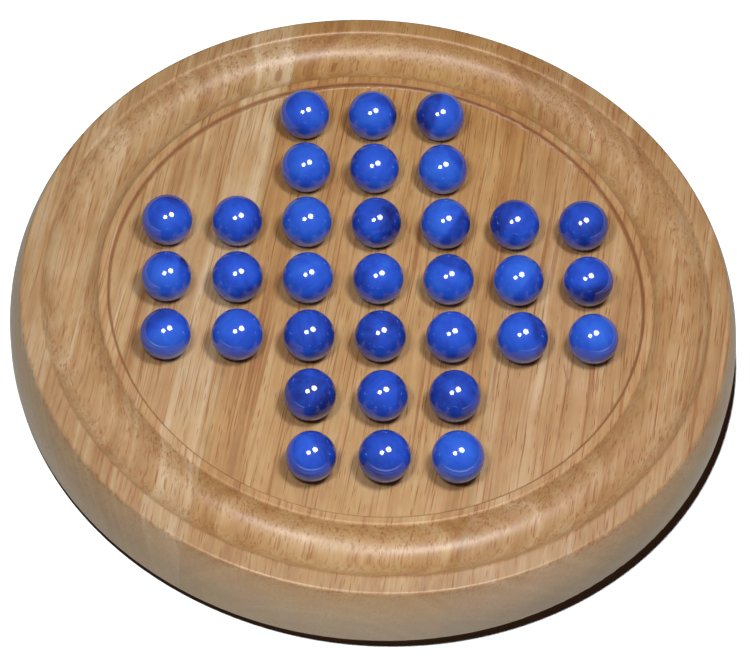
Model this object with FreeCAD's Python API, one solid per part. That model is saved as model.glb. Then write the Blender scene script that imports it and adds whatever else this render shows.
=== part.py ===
"""Marble solitaire board: a turned, edge-glued wooden board and its 33 glass marbles.

Millimetres. The origin is the centre of the underside, where the board rests. +Z is up,
+X runs along the rows of marbles and +Y along the columns, from row 7 to row 1.
"""
import FreeCAD, Part
import math
import os

from FreeCAD import Vector

# Marbles and the grid of holes
MARBLE_DIAMETER = 16.0
HOLE_PITCH = 22.0
COLUMN_LETTERS = "abcdefg"
ROW_NUMBERS = "1234567"
CROSS_HALF_ARM = 1          # an arm of the cross is three holes wide

# Dimples, cut with a ball cutter
DIMPLE_CUTTER_RADIUS = 9.0
DIMPLE_DEPTH = 1.5
DIMPLE_EDGE = 0.4           # rounding of the dimple's edge
SEAT_GAP = 0.1              # between a marble and the bottom of its dimple

# Playing field, sunk inside a low lip
FIELD_RADIUS = 84.1
FIELD_HEIGHT = 20.4
FIELD_CORNER_FILLET = 1.0
LIP_HEIGHT = 22.1
LIP_INNER_CHAMFER = 0.35
LIP_OUTER_EDGE = 1.1

# Groove that holds the captured marbles
GROOVE_RADIUS = 95.8
GROOVE_ARC_RADIUS = 9.7
GROOVE_FLOOR_HEIGHT = 16.6

# Rim and side wall
BOARD_DIAMETER = 230.0
RIM_INNER_HEIGHT = 23.3
RIM_OUTER_HEIGHT = 22.9
RIM_OUTER_RADIUS = 111.2
RIM_INNER_EDGE = 1.3
RIM_OUTER_EDGE = 1.2
WALL_WIDEST_HEIGHT = 8.0
UNDERSIDE_EDGE = 3.0

# Staves, glued edge to edge. The grain leans clockwise from +Y.
GRAIN_LEAN_DEGREES = 10.6
GLUE_LINES = {
    "left": -41.9,
    "right": 39.6,
}
SLAB_REACH = 200.0          # longer than the board in every direction

OUTPUT_FOLDER = "parts"


def half_width_of_groove(height):
    """Half the groove's width at a height, from its circular section."""
    drop = GROOVE_FLOOR_HEIGHT + GROOVE_ARC_RADIUS - height
    return math.sqrt(GROOVE_ARC_RADIUS ** 2 - drop ** 2)


def line(start, end):
    """Straight edge between two profile points."""
    return Part.makeLine(start, end)


def wall_edge(top, widest):
    """Arc of the side wall, from the rim's outer corner to the widest point, where it is upright."""
    inset = widest.x - top.x
    drop = top.z - widest.z
    radius = (inset ** 2 + drop ** 2) / (2 * inset)
    half_angle = math.asin(drop / radius) / 2
    inwards = radius * (1 - math.cos(half_angle))
    upwards = radius * math.sin(half_angle)
    middle = Vector(widest.x - inwards, 0, widest.z + upwards)
    return Part.Arc(top, middle, widest).toShape()


def board_profile():
    """Closed half section of the board in the XZ plane, from the axis outwards."""
    groove_inner = GROOVE_RADIUS - half_width_of_groove(LIP_HEIGHT)
    groove_outer = GROOVE_RADIUS + half_width_of_groove(RIM_INNER_HEIGHT)
    widest_radius = BOARD_DIAMETER / 2

    axis_bottom = Vector(0, 0, 0)
    axis_top = Vector(0, 0, FIELD_HEIGHT)
    field_corner = Vector(FIELD_RADIUS, 0, FIELD_HEIGHT)
    lip_inner = Vector(FIELD_RADIUS, 0, LIP_HEIGHT)
    lip_outer = Vector(groove_inner, 0, LIP_HEIGHT)
    groove_floor = Vector(GROOVE_RADIUS, 0, GROOVE_FLOOR_HEIGHT)
    rim_inner = Vector(groove_outer, 0, RIM_INNER_HEIGHT)
    rim_outer = Vector(RIM_OUTER_RADIUS, 0, RIM_OUTER_HEIGHT)
    widest = Vector(widest_radius, 0, WALL_WIDEST_HEIGHT)
    wall_bottom = Vector(widest_radius, 0, UNDERSIDE_EDGE)
    turn = UNDERSIDE_EDGE * (1 - math.sqrt(0.5))
    underside_turn = Vector(widest_radius - turn, 0, turn)
    underside_outer = Vector(widest_radius - UNDERSIDE_EDGE, 0, 0)

    return Part.Wire([
        line(axis_bottom, axis_top),
        line(axis_top, field_corner),
        line(field_corner, lip_inner),
        line(lip_inner, lip_outer),
        Part.Arc(lip_outer, groove_floor, rim_inner).toShape(),
        line(rim_inner, rim_outer),
        wall_edge(rim_outer, widest),
        line(widest, wall_bottom),
        Part.Arc(wall_bottom, underside_turn, underside_outer).toShape(),
        line(underside_outer, axis_bottom),
    ])


def ring_edges(shape, radius, height):
    """The circular edges of a shape that have this radius and lie at this height."""
    found = []
    for edge in shape.Edges:
        if edge.Degenerated or not isinstance(edge.Curve, Part.Circle):
            continue
        curve = edge.Curve
        same_radius = abs(curve.Radius - radius) < 1e-3
        same_height = abs(curve.Center.z - height) < 1e-3
        if same_radius and same_height:
            found.append(edge)
    return found


def turned_blank():
    """The whole board as one turned shape, with its edges eased and no dimples."""
    blank = Part.Face(board_profile()).revolve(Vector(0, 0, 0), Vector(0, 0, 1), 360)
    groove_inner = GROOVE_RADIUS - half_width_of_groove(LIP_HEIGHT)
    groove_outer = GROOVE_RADIUS + half_width_of_groove(RIM_INNER_HEIGHT)
    eased_rings = [
        (FIELD_RADIUS, FIELD_HEIGHT, FIELD_CORNER_FILLET),
        (groove_inner, LIP_HEIGHT, LIP_OUTER_EDGE),
        (groove_outer, RIM_INNER_HEIGHT, RIM_INNER_EDGE),
        (RIM_OUTER_RADIUS, RIM_OUTER_HEIGHT, RIM_OUTER_EDGE),
    ]
    for radius, height, ease in eased_rings:
        blank = blank.makeFillet(ease, ring_edges(blank, radius, height))
    return blank.makeChamfer(LIP_INNER_CHAMFER, ring_edges(blank, FIELD_RADIUS, LIP_HEIGHT))


def hole_places():
    """Hole names and centres: rows of 3, 3, 7, 7, 7, 3 and 3, row 1 farthest along +Y."""
    middle = len(ROW_NUMBERS) // 2
    places = {}
    for row, number in enumerate(ROW_NUMBERS):
        for column, letter in enumerate(COLUMN_LETTERS):
            in_upright = abs(column - middle) <= CROSS_HALF_ARM
            in_crossbar = abs(row - middle) <= CROSS_HALF_ARM
            if in_upright or in_crossbar:
                x = (column - middle) * HOLE_PITCH
                y = (middle - row) * HOLE_PITCH
                places[letter + number] = (x, y)
    return places


def with_dimples(blank, places):
    """The board with a ball-cut dimple at every hole, each with a rounded edge."""
    centre_height = FIELD_HEIGHT - DIMPLE_DEPTH + DIMPLE_CUTTER_RADIUS
    balls = []
    for x, y in places.values():
        balls.append(Part.makeSphere(DIMPLE_CUTTER_RADIUS, Vector(x, y, centre_height)))
    board = blank.cut(balls)
    edge_radius = math.sqrt(DIMPLE_CUTTER_RADIUS ** 2 - (DIMPLE_CUTTER_RADIUS - DIMPLE_DEPTH) ** 2)
    return board.makeFillet(DIMPLE_EDGE, ring_edges(board, edge_radius, FIELD_HEIGHT))


def stave(board, low_side, high_side):
    """The part of the board between two planes along the grain."""
    slab = Part.makeBox(high_side - low_side, 2 * SLAB_REACH, 2 * SLAB_REACH)
    slab.translate(Vector(low_side, -SLAB_REACH, -SLAB_REACH))
    slab.rotate(Vector(0, 0, 0), Vector(0, 0, 1), -GRAIN_LEAN_DEGREES)
    return board.common(slab).Solids[0]


def marble(x, y):
    """A glass ball seated in the dimple at x, y."""
    radius = MARBLE_DIAMETER / 2
    centre_height = FIELD_HEIGHT - DIMPLE_DEPTH + SEAT_GAP + radius
    return Part.makeSphere(radius, Vector(x, y, centre_height))


def write_node(name, shape):
    """Write one piece to its own STEP file."""
    path = os.path.join(OUTPUT_FOLDER, name + ".step")
    shape.exportStep(path)
    print("%-16s valid %s  volume %.1f mm3" % (name, shape.isValid(), shape.Volume))


def main():
    """Make every piece of the board and write it out."""
    os.makedirs(OUTPUT_FOLDER, exist_ok=True)
    places = hole_places()
    board = with_dimples(turned_blank(), places)

    write_node("left_stave", stave(board, -SLAB_REACH, GLUE_LINES["left"]))
    write_node("middle_stave", stave(board, GLUE_LINES["left"], GLUE_LINES["right"]))
    write_node("right_stave", stave(board, GLUE_LINES["right"], SLAB_REACH))

    for name, (x, y) in places.items():
        write_node("marble_" + name, marble(x, y))


main()
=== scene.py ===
"""Looks of the marble solitaire board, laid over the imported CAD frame.

Metres, in the part's own frame: the origin is the centre of the underside, +Z is up, +X runs
along the rows of marbles and +Y along the columns, away from the player. Wood patterns are
drawn in millimetres in a grain frame: u across the grain, v along it and w up.
"""
import math

import bmesh
import bpy
from mathutils import Matrix, Vector


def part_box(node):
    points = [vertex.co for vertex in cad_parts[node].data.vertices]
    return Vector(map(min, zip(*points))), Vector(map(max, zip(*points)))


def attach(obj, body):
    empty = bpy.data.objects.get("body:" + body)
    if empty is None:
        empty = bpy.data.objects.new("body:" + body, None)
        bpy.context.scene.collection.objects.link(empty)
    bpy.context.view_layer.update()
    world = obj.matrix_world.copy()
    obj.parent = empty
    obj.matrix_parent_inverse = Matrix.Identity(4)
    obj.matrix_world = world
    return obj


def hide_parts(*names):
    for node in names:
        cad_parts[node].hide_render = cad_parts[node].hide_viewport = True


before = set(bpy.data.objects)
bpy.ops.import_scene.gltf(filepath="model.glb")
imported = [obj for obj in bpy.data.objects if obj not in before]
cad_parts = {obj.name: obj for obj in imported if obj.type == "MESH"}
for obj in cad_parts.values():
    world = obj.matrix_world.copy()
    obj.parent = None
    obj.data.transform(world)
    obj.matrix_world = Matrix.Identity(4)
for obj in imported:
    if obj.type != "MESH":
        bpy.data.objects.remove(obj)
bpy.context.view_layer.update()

MM = 0.001
MM_PER_METRE = 1000.0

# Camera
CAMERA_PLACE = Vector((-0.0599, -0.5363, 0.7521))
CAMERA_AZIMUTH = math.radians(6.44)       # from +Y towards +X
CAMERA_DROP = math.radians(54.36)         # below the horizon
CAMERA_ROLL = math.radians(5.92)
LENS_MM = 138.96
SENSOR_MM = 36.0

# Two small round lamps over the front of the board. The marbles see each of them wider and
# stronger, which gives them their round white highlights, while the board keeps its crisp
# shadows.
LAMPS = {
    "left_lamp": {
        "place": (-0.152, -0.221, 0.545),
        "radius": 0.055,
        "watts": 1.57,
        "radius_on_glass": 0.092,
        "watts_on_glass": 1.73,
    },
    "right_lamp": {
        "place": (0.118, -0.091, 0.547),
        "radius": 0.066,
        "watts": 1.98,
        "radius_on_glass": 0.113,
        "watts_on_glass": 2.18,
    },
}
LAMP_COLOUR = (1.0, 0.98, 0.955)

# Room: dim light from above, and the glow of the floor from below, stronger at the front.
# A direction is a unit vector, so these steps run along its Y and its Z.
ROOM_ABOVE = (0.100, 0.063, 0.030, 1)
FLOOR_GLOW_FRONT = (2.06, 2.28, 2.38, 1)
FLOOR_GLOW_SIDES = (0.57, 0.62, 0.60, 1)
GLOW_FRONT_TO_SIDES = (-0.9, -0.2)
GLOW_TO_ROOM = (-0.15, -0.02)
BACKDROP = (1.0, 1.0, 1.0, 1)

# Floor: dark itself, for a deep shadow, and made white by a strong light of its own
FLOOR_SIZE = 8.0
FLOOR_BELOW_BOARD = 0.05 * MM
FLOOR_COLOUR = (0.12, 0.070, 0.065, 1)
FLOOR_ROUGHNESS = 0.9
FLOOR_LIGHT_STRENGTH = 54
FLOOR_LIGHT_COLOUR = (0.54, 0.93, 1.0)
FLOOR_LIGHT_TILT = (math.radians(-4.9), math.radians(-9.2), 0)
FLOOR_LIGHT_WIDTH = math.radians(3)

# Board, as the part is made, in mm
FIELD_RADIUS = 84.1
FIELD_HEIGHT = 20.4
LIP_EDGE_RADIUS = 86.7
RIM_RADIUS = 106.0
WALL_TOP_RADIUS = 111.2
GRAIN_LEAN = math.radians(10.6)           # clockwise from +Y
STAVE_HALF_LENGTH = 115

# Wood colours
PALE_WOOD = (0.62, 0.42, 0.232, 1)
PLAIN_WOOD = (0.495, 0.277, 0.117, 1)
DARK_WOOD = (0.37, 0.175, 0.065, 1)
# The brown of pores and grain lines, also used for the painted shade in the field's corner
GRAIN_AND_SHADE_BROWN = (0.27, 0.088, 0.020, 1)
RIM_TINT = (0.91, 0.92, 0.94, 1)

# Noise in the wood: how wide and long its cells are in mm, how far it starts from the stave's
# seed, its detail and roughness, and how far it swings. The wanders bend the growth layers, in
# mm. The others shift the tone.
SLOW_WANDER = {"cell": (35, 90), "shift": 0, "detail": 2.0, "roughness": 0.5, "swing": 2.5}
QUICK_WANDER = {"cell": (6, 35), "shift": 5, "detail": 2.0, "roughness": 0.5, "swing": 0.5}
FIBRE = {"cell": (0.8, 30), "shift": 9, "detail": 2.0, "roughness": 0.55, "swing": 0.32}
CLOUDS = {"cell": (8, 18), "shift": 14, "detail": 3.0, "roughness": 0.6, "swing": 0.45}
LAYERS = {"width": 2.6, "detail": 2.0, "roughness": 0.55, "swing": 0.72}

# Thin brown lines along the grain: their cells in mm, how far they start from the stave's seed,
# the noise at which they appear and are whole, and how brown they are then
LINES = {"cell": (0.75, 55), "shift": 30, "noise": (0.53, 0.72), "strength": 0.58}

# Pores in three sizes: cell width and length in mm, then the pore's half width in cells. They
# start from the stave's seed plus their length. More noise makes them wider, from this share of
# their half width up to all of it.
PORE_SIZES = [(0.95, 55, 0.22), (0.85, 22, 0.24), (0.7, 9, 0.24)]
PORE_CROWDING = {"cell": (5, 40), "shift": 20, "noise": (0.32, 0.58), "narrowest": 0.4}

# How steep a pore's edge is: at 2 it is whole over the inner half of its half width
PORE_STEEPNESS = 2.0

# The side wall's figure: its strength against the rim's, the tone it keeps close to, and how far
# out from the top of the wall it has faded to that strength, in mm
WALL_FIGURE = 0.4
WALL_TONE = 0.45
WALL_FADE = 1.5

# The painted shade line, partly varnish stain, in the corner of the playing field: how far inside
# the field's radius its middle is, how far from there it starts to fade and is gone, all in mm, and
# how brown it is
CORNER_SHADE_AND_STAIN = {"inset": 0.15, "fade": (0.25, 0.8), "strength": 0.62}

# Varnish: its weight, its weight on the lip's rubbed edge, and how far from the edge's middle it
# starts to rise and is whole, in mm
VARNISH = {"weight": 0.6, "rubbed": 0.15, "rise": (0.8, 1.4)}

# Relief: how far the fibre rises and the pores sink, as shares of its height
FIBRE_DEPTH = 0.4
PORE_DEPTH = 0.5
RELIEF_HEIGHT = 0.06 * MM
RELIEF_STRENGTH = 0.7

# How deep light scatters in the wood
SCATTER_DEPTH = 3.0 * MM

# Each stave: where the pith of its tree lies as (u, w) in mm, where its noise starts, the tints
# of its near and far ends, how strongly its pores show, and its tone across the grain on the
# playing field as (u in mm, tone from 0, dark, to 1, pale).
STAVES = {
    "left_stave": {
        "pith": (-127, -10),
        "seed": 3.0,
        "near_tint": (0.99, 1.14, 1.37, 1),
        "far_tint": (1.09, 1.27, 1.50, 1),
        "pores": 0.55,
        "tones": [
            (-115, 0.50), (-95, 0.58), (-90, 0.46), (-78, 0.52), (-68, 0.32), (-64, 0.50),
            (-58, 0.36), (-54, 0.60), (-46, 0.70), (-42, 0.66),
        ],
    },
    "middle_stave": {
        "pith": (1, -25),
        "seed": 11.0,
        "near_tint": (0.96, 1.05, 1.09, 1),
        "far_tint": (1.02, 1.05, 0.96, 1),
        "pores": 0.80,
        "tones": [(1, 0.66), (6, 0.45), (14, 0.55), (22, 0.42), (28, 0.52), (34, 0.30), (43, 0.42)],
    },
    "right_stave": {
        "pith": (30, -32),
        "seed": 23.0,
        "near_tint": (0.94, 1.04, 1.20, 1),
        "far_tint": (0.98, 1.04, 1.09, 1),
        "pores": 0.85,
        "tones": [
            (39, 0.50), (42, 0.75), (47, 0.42), (55, 0.62), (60, 0.42), (68, 0.60),
            (73, 0.66), (77, 0.34), (84, 0.48), (93, 0.62), (115, 0.48),
        ],
    },
}

# Glass: its colours, and its clear outer layer
BRIGHT_BLUE = (0.060, 0.275, 0.860, 1)
MID_BLUE = (0.033, 0.151, 0.710, 1)
DARK_BLUE = (0.010, 0.030, 0.198, 1)
GLASS_IOR = 1.30
CLEAR_LAYER_TINT = (0.50, 0.55, 0.87, 1)
CLEAR_LAYER_IOR = 1.66
CLEAR_LAYER_ROUGHNESS = 0.022

# Swirls in the glass: broad ones, then streaks drawn out along the swirl's own Z
BROAD_SWIRL = {"detail": 1.0, "roughness": 0.5, "distortion": 0.6, "swing": 0.35}
STREAKS = {"detail": 2.0, "roughness": 0.5, "distortion": 0.5, "swing": 0.25}
STREAK_SHIFT = (4, 4, 4)
STREAK_SCALE = (3.5, 3.5, 0.5)

# Each marble's swirl is turned by these angles, in radians, times its number. Its coordinates
# have this scale and lie this far from the next marble's.
SWIRL_TURN_X = 2.4
SWIRL_TURN_Z = 1.7
SWIRL_SCALE = 0.9
SWIRL_SPACING = 3.0
BALL_CUTS = 23

# Each marble: its size as a share of the full 16 mm, its tone from -1, dark, to 1, bright, and
# its darker patches as (side, start, spread, depth). A side is in degrees as the player looks
# down at the ball, from 0 at the right to 90 at the top; the patch starts that share of the
# radius out from the middle towards its side.
MARBLES = {
    "a3": (1.00, 0.05, [(60, 0.35, 0.5, 0.4)]),
    "a4": (0.98, 0.25, [(0, 0.40, 0.25, 0.6), (85, 0.45, 0.3, 0.4)]),
    "a5": (0.985, 0.25, [(130, 0.10, 0.6, 0.7)]),
    "b3": (1.00, 0.05, [(330, 0.15, 0.6, 0.5)]),
    "b4": (1.00, 0.05, [(300, 0.15, 0.6, 0.5)]),
    "b5": (1.00, 0.20, []),
    "c1": (1.00, 0.15, [(250, 0.20, 0.6, 0.3)]),
    "c2": (1.00, 0.40, [(275, 0.30, 0.2, 0.15)]),
    "c3": (1.00, 0.50, []),
    "c4": (1.00, 0.35, []),
    "c5": (1.00, -0.20, [(330, 0.20, 0.5, 0.4)]),
    "c6": (1.00, -0.50, [(320, 0.10, 0.6, 0.4)]),
    "c7": (0.96, 0.05, [(30, 0.20, 0.30, 0.6)]),
    "d1": (1.00, 0.15, [(75, 0.35, 0.2, 0.4), (5, 0.60, 0.3, 0.6)]),
    "d2": (1.00, 0.05, [(190, 0.30, 0.6, 0.2)]),
    "d3": (1.00, -0.25, [(350, 0.00, 0.5, 0.5)]),
    "d4": (1.00, 0.20, [(180, 0.20, 0.5, 0.4)]),
    "d5": (1.00, -0.45, []),
    "d6": (0.98, -0.05, [(0, 0.45, 0.1, 0.4)]),
    "d7": (1.00, -0.40, []),
    "e1": (1.00, 0.30, [(165, 0.05, 0.25, 0.9)]),
    "e2": (1.00, 0.40, [(35, 0.35, 0.2, 0.5)]),
    "e3": (1.00, 0.45, [(325, 0.10, 0.20, 0.85)]),
    "e4": (1.00, 0.25, [(70, 0.35, 0.15, 0.5)]),
    "e5": (1.00, 0.05, [(250, 0.20, 0.6, 0.3)]),
    "e6": (1.00, -0.30, []),
    "e7": (1.00, 0.40, [(350, 0.40, 0.5, 0.2)]),
    "f3": (1.00, 0.00, [(150, 0.10, 0.4, 0.6)]),
    "f4": (1.00, 0.55, [(320, 0.10, 0.2, 0.7)]),
    "f5": (1.00, 0.10, [(10, 0.20, 0.3, 0.6)]),
    "g3": (1.00, -0.30, [(30, 0.30, 0.3, 0.2)]),
    "g4": (0.985, 0.00, [(270, 0.00, 0.5, 0.8)]),
    "g5": (0.98, 0.40, []),
}
PLAYER_RIGHT = Vector((1, 0, 0))
PLAYER_UP = Vector((0, 0.81, 0.58))


class Graph:
    """The node tree of a material or a world. Most calls return an output socket, to feed on."""

    def __init__(self, owner):
        self.owner = owner
        self.owner.use_nodes = True
        self.tree = self.owner.node_tree
        self.tree.nodes.clear()

    def feed(self, socket, value):
        """Links another node's output to a socket, or sets the socket's own value."""
        if isinstance(value, bpy.types.NodeSocket):
            self.tree.links.new(value, socket)
        else:
            socket.default_value = value

    def node(self, kind, inputs=None, **settings):
        """A node with these settings and inputs."""
        made = self.tree.nodes.new(kind)
        for name, value in settings.items():
            setattr(made, name, value)
        for name, value in (inputs or {}).items():
            self.feed(made.inputs[name], value)
        return made

    def math(self, operation, *values, clamp=False):
        """One arithmetic step on numbers."""
        made = self.node("ShaderNodeMath", operation=operation, use_clamp=clamp)
        for socket, value in zip(made.inputs, values):
            self.feed(socket, value)
        return made.outputs[0]

    def mix(self, share, first, second, blend="MIX"):
        """Two colours mixed by a share from 0 to 1."""
        made = self.node("ShaderNodeMix", data_type="RGBA", blend_type=blend)
        colours = [socket for socket in made.inputs if socket.type == "RGBA"]
        self.feed(made.inputs["Factor"], share)
        self.feed(colours[0], first)
        self.feed(colours[1], second)
        return next(socket for socket in made.outputs if socket.type == "RGBA")

    def step(self, value, start, end, low=0.0, high=1.0):
        """A smooth step from low to high as the value goes from start to end."""
        inputs = {"Value": value, "From Min": start, "From Max": end, "To Min": low, "To Max": high}
        made = self.node("ShaderNodeMapRange", inputs, interpolation_type="SMOOTHSTEP")
        return made.outputs[0]

    def ramp(self, value, stops, interpolation="LINEAR"):
        """A colour ramp through (position, colour) stops."""
        made = self.node("ShaderNodeValToRGB", {"Fac": value})
        band = made.color_ramp
        band.interpolation = interpolation
        while len(band.elements) < len(stops):
            band.elements.new(0.5)
        for element, (position, colour) in zip(band.elements, stops):
            element.position = position
            element.color = colour
        return made.outputs["Color"]

    def move(self, vector, shift=(0, 0, 0), scale=(1, 1, 1), turn=(0, 0, 0)):
        """A vector scaled, turned, then shifted."""
        inputs = {"Vector": vector, "Location": shift, "Rotation": turn, "Scale": scale}
        return self.node("ShaderNodeMapping", inputs).outputs[0]

    def noise(self, vector, detail=2.0, roughness=0.5, distortion=0.0):
        """Smooth noise from 0 to 1, with features about one unit across."""
        inputs = {
            "Vector": vector, "Scale": 1.0, "Detail": detail, "Roughness": roughness,
            "Distortion": distortion,
        }
        return self.node("ShaderNodeTexNoise", inputs).outputs[0]

    def swing(self, value, reach):
        """Noise from 0 to 1 turned into a number from -reach to +reach."""
        return self.math("MULTIPLY_ADD", value, 2 * reach, -reach)

    def finish(self, **inputs):
        """Ends the tree in a Principled shader with these inputs."""
        named = {name.replace("_", " "): value for name, value in inputs.items()}
        shader = self.node("ShaderNodeBsdfPrincipled", named)
        self.node("ShaderNodeOutputMaterial", {"Surface": shader.outputs[0]})
        return self.owner


def grain_cells(graph, grain, cell, seed):
    """Grain coordinates in cells this wide and this long, in millimetres."""
    across, along = cell
    return graph.move(grain, (seed, seed, seed), (1 / across, 1 / along, 1 / across))


def grain_noise(graph, grain, kind, seed):
    """Noise of one kind that is drawn out along the grain and swings to both sides of 0."""
    cells = grain_cells(graph, grain, kind["cell"], seed + kind["shift"])
    return graph.swing(graph.noise(cells, kind["detail"], kind["roughness"]), kind["swing"])


def distance_from(graph, reach, radius):
    """How far a distance from the board's axis lies from a radius, to either side."""
    return graph.math("ABSOLUTE", graph.math("SUBTRACT", reach, radius))


def wood_material(name, stave):
    """Satin-varnished rubberwood: growth layers, fibre and short brown pores along the grain."""
    g = Graph(bpy.data.materials.new(name + "_wood_look"))
    seed = stave["seed"]
    place = g.node("ShaderNodeTexCoord").outputs["Object"]
    scale = (MM_PER_METRE, MM_PER_METRE, MM_PER_METRE)
    grain = g.move(place, scale=scale, turn=(0, 0, GRAIN_LEAN))
    parts = g.node("ShaderNodeSeparateXYZ", {"Vector": grain}).outputs
    across, height = parts["X"], parts["Z"]
    flat_place = g.node("ShaderNodeCombineXYZ", {"X": across, "Y": parts["Y"]}).outputs[0]

    # Growth layers: rings round the pith, a little uneven along the grain
    pith_u, pith_w = stave["pith"]
    sideways = g.math("SUBTRACT", across, pith_u)
    upwards = g.math("SUBTRACT", height, pith_w)
    sideways_squared = g.math("MULTIPLY", sideways, sideways)
    upwards_squared = g.math("MULTIPLY", upwards, upwards)
    from_pith = g.math("SQRT", g.math("ADD", sideways_squared, upwards_squared))
    slow = grain_noise(g, grain, SLOW_WANDER, seed)
    quick = grain_noise(g, grain, QUICK_WANDER, seed)
    wander = g.math("ADD", slow, quick)
    ring = g.math("ADD", from_pith, wander)
    row = g.math("ADD", across, wander)
    rows = g.node("ShaderNodeCombineXYZ", {"X": row, "Y": parts["Y"], "Z": height}).outputs[0]

    # Broad tone across the stave, then narrow layers, fibre and clouds
    reaches = [(math.hypot(u - pith_u, FIELD_HEIGHT - pith_w), tone) for u, tone in stave["tones"]]
    low, high = reaches[0][0], reaches[-1][0]
    share = g.math("DIVIDE", g.math("SUBTRACT", ring, low), high - low, clamp=True)
    stops = [((reach - low) / (high - low), (tone, tone, tone, 1)) for reach, tone in reaches]
    tone = g.ramp(share, stops, "EASE")
    ring_line = g.node("ShaderNodeCombineXYZ", {"X": ring, "Y": seed}).outputs[0]
    ring_cells = g.move(ring_line, scale=(1 / LAYERS["width"], 1, 1))
    layers = g.swing(g.noise(ring_cells, LAYERS["detail"], LAYERS["roughness"]), LAYERS["swing"])
    fibre = grain_noise(g, grain, FIBRE, seed)
    clouds = grain_noise(g, grain, CLOUDS, seed)
    tone = g.math("ADD", g.math("ADD", tone, layers), g.math("ADD", fibre, clouds), clamp=True)

    # The side wall is sanded smooth and shows its figure more faintly
    reach = g.node("ShaderNodeVectorMath", {0: flat_place}, operation="LENGTH").outputs["Value"]
    strength = g.step(reach, WALL_TOP_RADIUS, WALL_TOP_RADIUS + WALL_FADE, 1.0, WALL_FIGURE)
    tone = g.math("MULTIPLY_ADD", g.math("SUBTRACT", tone, WALL_TONE), strength, WALL_TONE)
    colour = g.ramp(tone, [(0.0, DARK_WOOD), (0.5, PLAIN_WOOD), (1.0, PALE_WOOD)])
    along = g.step(parts["Y"], -STAVE_HALF_LENGTH, STAVE_HALF_LENGTH)
    colour = g.mix(1.0, colour, g.mix(along, stave["near_tint"], stave["far_tint"]), "MULTIPLY")

    # The rim is tinted a little darker than the playing field
    rim_darkening = g.math("MULTIPLY", g.step(reach, FIELD_RADIUS, RIM_RADIUS), strength)
    colour = g.mix(rim_darkening, colour, RIM_TINT, "MULTIPLY")

    # Thin brown lines that run far along the grain
    line_cells = grain_cells(g, rows, LINES["cell"], seed + LINES["shift"])
    lines = g.step(g.noise(line_cells, detail=1.0), *LINES["noise"], 0.0, LINES["strength"])
    colour = g.mix(g.math("MULTIPLY", lines, strength), colour, GRAIN_AND_SHADE_BROWN)

    # Pores: long narrow cells, cut to dashes on flat faces and to dots on end grain
    crowd_cells = grain_cells(g, rows, PORE_CROWDING["cell"], seed + PORE_CROWDING["shift"])
    crowding = g.noise(crowd_cells, detail=2.0)
    pores = 0.0
    for across_mm, along_mm, widest in PORE_SIZES:
        vector = grain_cells(g, rows, (across_mm, along_mm), seed + along_mm)
        cells = g.node("ShaderNodeTexVoronoi", {"Vector": vector, "Scale": 1.0})
        narrowest = PORE_CROWDING["narrowest"] * widest
        width = g.step(crowding, *PORE_CROWDING["noise"], narrowest, widest)
        share = g.math("DIVIDE", cells.outputs["Distance"], width)
        pore = g.math("MULTIPLY_ADD", share, -PORE_STEEPNESS, PORE_STEEPNESS, clamp=True)
        pores = g.math("MAXIMUM", pores, pore)
    pores = g.math("MULTIPLY", pores, strength, clamp=True)
    colour = g.mix(g.math("MULTIPLY", pores, stave["pores"]), colour, GRAIN_AND_SHADE_BROWN)

    # Painted shade, with some varnish stain, darkens the corner where the lip meets the playing
    # field
    from_corner = distance_from(g, reach, FIELD_RADIUS - CORNER_SHADE_AND_STAIN["inset"])
    corner_shade_and_stain = g.step(from_corner, *CORNER_SHADE_AND_STAIN["fade"], CORNER_SHADE_AND_STAIN["strength"], 0.0)
    colour = g.mix(corner_shade_and_stain, colour, GRAIN_AND_SHADE_BROWN)

    # The lip's outer edge is rubbed almost bare, so that it shines less than the rest
    from_edge = distance_from(g, reach, LIP_EDGE_RADIUS)
    varnish = g.step(from_edge, *VARNISH["rise"], VARNISH["rubbed"], VARNISH["weight"])

    depth = g.math("MULTIPLY_ADD", pores, -PORE_DEPTH, g.math("MULTIPLY", fibre, FIBRE_DEPTH))
    relief = {"Height": depth, "Distance": RELIEF_HEIGHT, "Strength": RELIEF_STRENGTH}
    bump = g.node("ShaderNodeBump", relief)
    return g.finish(
        Base_Color=colour, Roughness=0.52, IOR=1.5, Normal=bump.outputs[0],
        Coat_Weight=varnish, Coat_Roughness=0.36, Coat_IOR=1.55,
        Subsurface_Weight=0.5, Subsurface_Radius=(1.0, 0.30, 0.10), Subsurface_Scale=SCATTER_DEPTH,
    )


def swirl_noise(graph, vector, kind):
    """Noise of one kind that swings to both sides of 0."""
    noise = graph.noise(vector, kind["detail"], kind["roughness"], kind["distortion"])
    return graph.swing(noise, kind["swing"])


def glass_material():
    """Blue glass: an opaque core with soft swirls, under a clear layer that deepens its edges.
    Each marble carries its own tone in its mesh."""
    g = Graph(bpy.data.materials.new("marble_glass_look"))
    swirl = g.node("ShaderNodeAttribute", attribute_name="swirl").outputs["Vector"]
    tone = g.node("ShaderNodeAttribute", attribute_name="tone").outputs["Fac"]
    broad = swirl_noise(g, swirl, BROAD_SWIRL)
    streaks = swirl_noise(g, g.move(swirl, STREAK_SHIFT, STREAK_SCALE), STREAKS)
    tone = g.math("ADD", tone, g.math("ADD", broad, streaks), clamp=True)
    colour = g.ramp(tone, [(0.0, DARK_BLUE), (0.5, MID_BLUE), (1.0, BRIGHT_BLUE)])
    return g.finish(
        Base_Color=colour, Roughness=0.5, IOR=GLASS_IOR, Coat_Weight=1.0,
        Coat_Roughness=CLEAR_LAYER_ROUGHNESS, Coat_IOR=CLEAR_LAYER_IOR, Coat_Tint=CLEAR_LAYER_TINT,
    )


def smooth_step(value):
    """0 below 0, 1 above 1 and a smooth rise between them."""
    share = min(max(value, 0.0), 1.0)
    return share * share * (3 - 2 * share)


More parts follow.
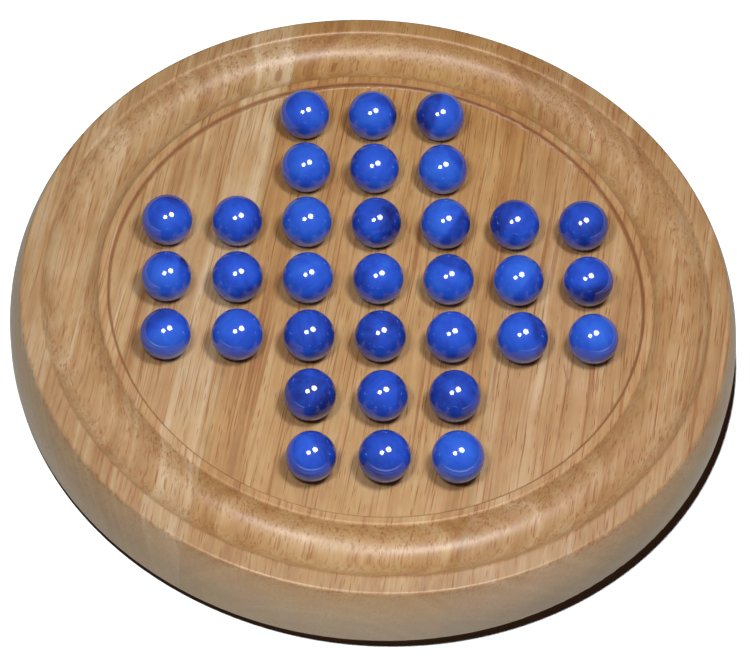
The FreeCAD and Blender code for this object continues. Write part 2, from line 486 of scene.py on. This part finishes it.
def glass_tone(point, tone, patches):
    """Tone of the glass at a point of the unit ball, from 0, dark, to 1, bright."""
    shade = 0.5 + 0.5 * tone
    for side, start, spread, depth in patches:
        angle = math.radians(side)
        towards = PLAYER_RIGHT * math.cos(angle) + PLAYER_UP * math.sin(angle)
        shade -= 0.5 * depth * smooth_step((point.dot(towards) - start) / spread)
    return shade


def ball_shape(cuts):
    """Points and faces of a unit ball made from a subdivided cube, so that it has no poles."""
    shape = bmesh.new()
    bmesh.ops.create_cube(shape, size=2.0)
    bmesh.ops.subdivide_edges(shape, edges=shape.edges, cuts=cuts, use_grid_fill=True)
    points = [vertex.co.normalized() for vertex in shape.verts]
    faces = [[vertex.index for vertex in face.verts] for face in shape.faces]
    shape.free()
    return points, faces


def glass_marble(node, number, ball, material):
    """A marble in place of its CAD node, with its own size, tone and turn of the swirl."""
    size, tone, patches = MARBLES[node.removeprefix("marble_")]
    low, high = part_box(node)
    radius = size * (high.z - low.z) / 2
    centre = Vector(((low.x + high.x) / 2, (low.y + high.y) / 2, low.z + radius))
    points, faces = ball
    mesh = bpy.data.meshes.new(node.replace("marble", "glass"))
    mesh.from_pydata([centre + point * radius for point in points], [], faces)
    mesh.shade_smooth()
    mesh.normals_split_custom_set_from_vertices(points)
    turn_x = Matrix.Rotation(SWIRL_TURN_X * number, 3, "X")
    turn_z = Matrix.Rotation(SWIRL_TURN_Z * number, 3, "Z")
    turn = turn_x @ turn_z
    shift = Vector((SWIRL_SPACING * number, 0, 0))
    swirl = mesh.attributes.new("swirl", "FLOAT_VECTOR", "POINT")
    for index, point in enumerate(points):
        swirl.data[index].vector = turn @ point * SWIRL_SCALE + shift
    tones = mesh.attributes.new("tone", "FLOAT", "POINT")
    for index, point in enumerate(points):
        tones.data[index].value = glass_tone(point, tone, patches)
    mesh.materials.append(material)
    marble = bpy.data.objects.new(mesh.name, mesh)
    bpy.context.scene.collection.objects.link(marble)
    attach(marble, node)
    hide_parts(node)
    return marble


def add_camera():
    """The camera, looking down at the board from the player's side."""
    ahead = Vector((
        math.cos(CAMERA_DROP) * math.sin(CAMERA_AZIMUTH),
        math.cos(CAMERA_DROP) * math.cos(CAMERA_AZIMUTH),
        -math.sin(CAMERA_DROP),
    ))
    level = ahead.cross(Vector((0, 0, 1))).normalized()
    right = level * math.cos(CAMERA_ROLL) + level.cross(ahead) * math.sin(CAMERA_ROLL)
    up = right.cross(ahead)
    data = bpy.data.cameras.new("camera")
    data.lens = LENS_MM
    data.sensor_width = SENSOR_MM
    camera = bpy.data.objects.new("camera", data)
    bpy.context.scene.collection.objects.link(camera)
    turn = Matrix((right, up, -ahead)).transposed().to_4x4()
    camera.matrix_world = Matrix.Translation(CAMERA_PLACE) @ turn
    bpy.context.scene.camera = camera


def add_lamp(name, place, radius, watts, receivers):
    """A round soft lamp that points at the middle of the board and lights these objects."""
    data = bpy.data.lights.new(name, "AREA")
    data.shape = "DISK"
    data.size = 2 * radius
    data.energy = watts
    data.color = LAMP_COLOUR
    lamp = bpy.data.objects.new(name, data)
    bpy.context.scene.collection.objects.link(lamp)
    lamp.location = place
    lamp.rotation_euler = Vector(place).to_track_quat("Z", "Y").to_euler()
    shine_on(lamp, name + "_only", receivers)


def shine_on(light, name, objects):
    """Makes a light fall on these objects only."""
    lit = bpy.data.collections.new(name)
    for thing in objects:
        lit.objects.link(thing)
    light.light_linking.receiver_collection = lit


def add_room():
    """Dim light from above and the floor's glow from below, with a white backdrop."""
    g = Graph(bpy.data.worlds.new("room"))
    way = g.node("ShaderNodeTexCoord").outputs["Generated"]
    parts = g.node("ShaderNodeSeparateXYZ", {"Vector": way}).outputs
    glow = g.mix(g.step(parts["Y"], *GLOW_FRONT_TO_SIDES), FLOOR_GLOW_FRONT, FLOOR_GLOW_SIDES)
    light = g.mix(g.step(parts["Z"], *GLOW_TO_ROOM), glow, ROOM_ABOVE)
    seen = g.node("ShaderNodeLightPath").outputs["Is Camera Ray"]
    background = g.node("ShaderNodeBackground", {"Color": g.mix(seen, light, BACKDROP)})
    g.node("ShaderNodeOutputWorld", {"Surface": background.outputs[0]})
    bpy.context.scene.world = g.owner


def add_floor():
    """A plain floor that its own strong light makes white, with a deep narrow shadow."""
    mesh = bpy.data.meshes.new("floor")
    half = FLOOR_SIZE / 2
    corners = [(-half, -half, 0), (half, -half, 0), (half, half, 0), (-half, half, 0)]
    mesh.from_pydata(corners, [], [(0, 1, 2, 3)])
    g = Graph(bpy.data.materials.new("floor_look"))
    mesh.materials.append(g.finish(Base_Color=FLOOR_COLOUR, Roughness=FLOOR_ROUGHNESS))
    floor = bpy.data.objects.new("floor", mesh)
    bpy.context.scene.collection.objects.link(floor)
    floor.location = (0, 0, -FLOOR_BELOW_BOARD)
    floor.visible_diffuse = False
    floor.visible_glossy = False

    data = bpy.data.lights.new("floor_light", "SUN")
    data.energy = FLOOR_LIGHT_STRENGTH
    data.color = FLOOR_LIGHT_COLOUR
    data.angle = FLOOR_LIGHT_WIDTH
    light = bpy.data.objects.new("floor_light", data)
    bpy.context.scene.collection.objects.link(light)
    light.rotation_euler = FLOOR_LIGHT_TILT
    shine_on(light, "floor_only", [floor])


add_camera()
add_room()
add_floor()
bpy.context.scene.view_settings.view_transform = "Standard"

board = [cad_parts[name] for name in STAVES]
for node, (name, stave) in zip(board, STAVES.items()):
    node.data.materials.clear()
    node.data.materials.append(wood_material(name, stave))

glass = glass_material()
ball = ball_shape(BALL_CUTS)
marble_nodes = sorted(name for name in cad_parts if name.startswith("marble_"))
marbles = []
for number, name in enumerate(marble_nodes, start=1):
    marbles.append(glass_marble(name, number, ball, glass))

for name, lamp in LAMPS.items():
    place = lamp["place"]
    add_lamp(name, place, lamp["radius"], lamp["watts"], board)
    add_lamp(name + "_on_glass", place, lamp["radius_on_glass"], lamp["watts_on_glass"], marbles)
